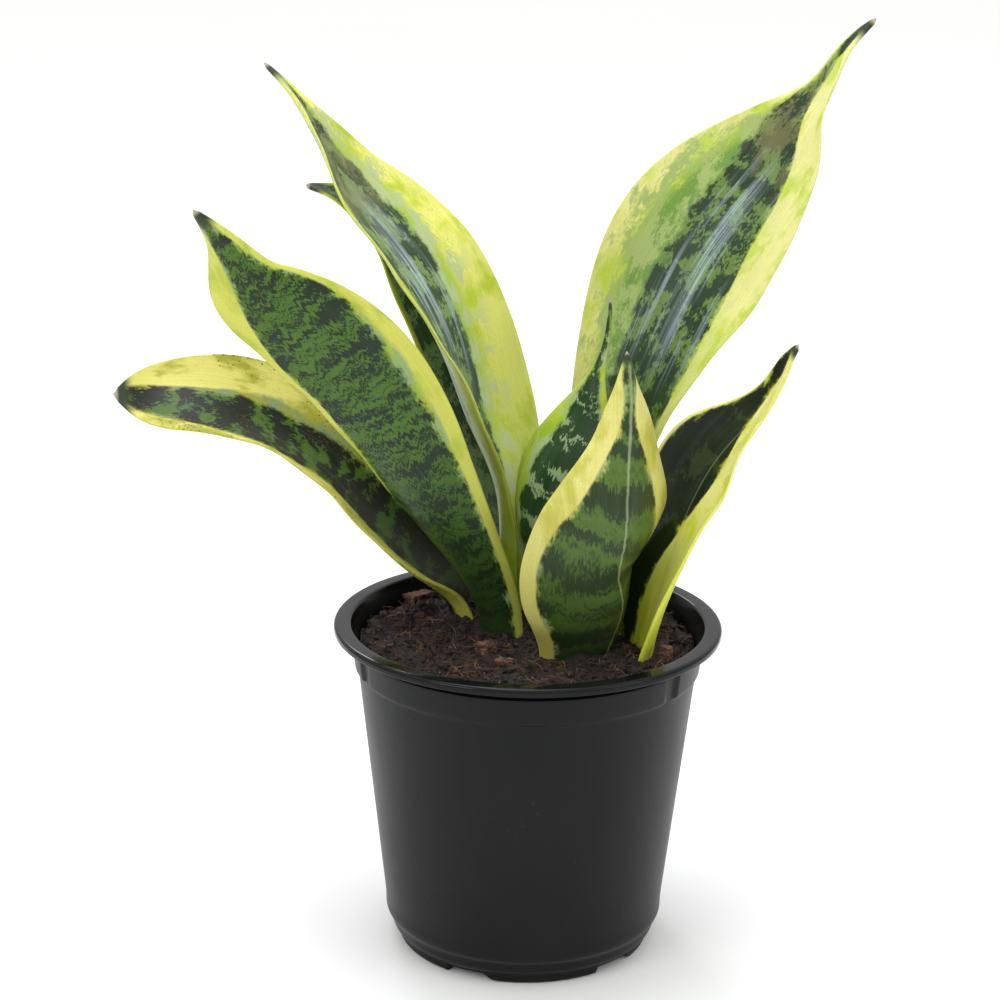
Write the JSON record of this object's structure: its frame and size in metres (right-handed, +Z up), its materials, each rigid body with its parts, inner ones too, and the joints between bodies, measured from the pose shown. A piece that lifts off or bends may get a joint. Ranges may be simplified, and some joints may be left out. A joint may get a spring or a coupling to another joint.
{
  "type": "potted snake plant",
  "caption": "Small variegated snake plant with broad pointed leaves growing from soil in a round black nursery pot.",
  "frame": {"origin": "middle of the pot's flat underside", "axes": "+Z up out of the pot, -Y towards the front view, +X to the right seen from the front"},
  "size_m": [0.2087, 0.1186, 0.2574],
  "materials": {
    "pot_plastic": "satin moulded black plastic",
    "soil": "coarse damp peat with fibres",
    "rhizome": "smooth fleshy stem",
    "leaf": "waxy leaf, green bands with yellow margins",
    "bark": "rough broken bark"
  },
  "bodies": {
    "root": {"nursery_pot": "pot_plastic", "potting_soil": "soil", "rhizome_and_roots": "rhizome", "leaf_low_left": "leaf", "leaf_broad_left": "leaf", "leaf_tall_left": "leaf", "leaf_rear_left": "leaf", "leaf_tall_right": "leaf", "leaf_young_middle": "leaf", "leaf_front": "leaf", "leaf_low_right": "leaf", "bark_chip_flat": "bark", "bark_chip_pointed": "bark", "bark_chip_square": "bark", "bark_chip_small": "bark"}
  },
  "joints": []
}
